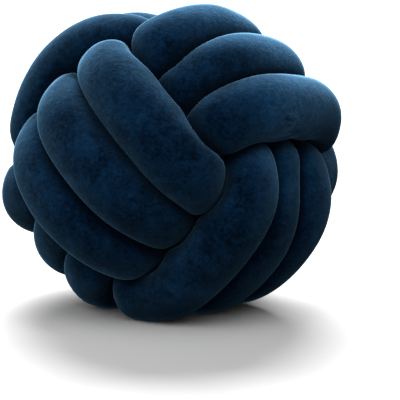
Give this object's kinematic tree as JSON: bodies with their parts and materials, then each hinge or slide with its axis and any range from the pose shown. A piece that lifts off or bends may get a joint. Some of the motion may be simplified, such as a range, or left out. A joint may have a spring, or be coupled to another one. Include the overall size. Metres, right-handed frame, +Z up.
{
  "type": "knot cushion",
  "caption": "Ball-shaped cushion tied from one long stuffed velvet tube, with groups of strands that cross over and under each other.",
  "frame": {"origin": "on the surface that the ball rests on, under the middle of its outline", "axes": "+Z up, -Y towards the front that the picture shows, where the pinwheel of strands is, +X to the right of it"},
  "size_m": [0.3242, 0.3084, 0.2867],
  "materials": {
    "navy_velvet": "deep blue short-pile velvet with a soft sheen"
  },
  "bodies": {
    "root": {"knotted_tube": "navy_velvet"}
  },
  "joints": []
}
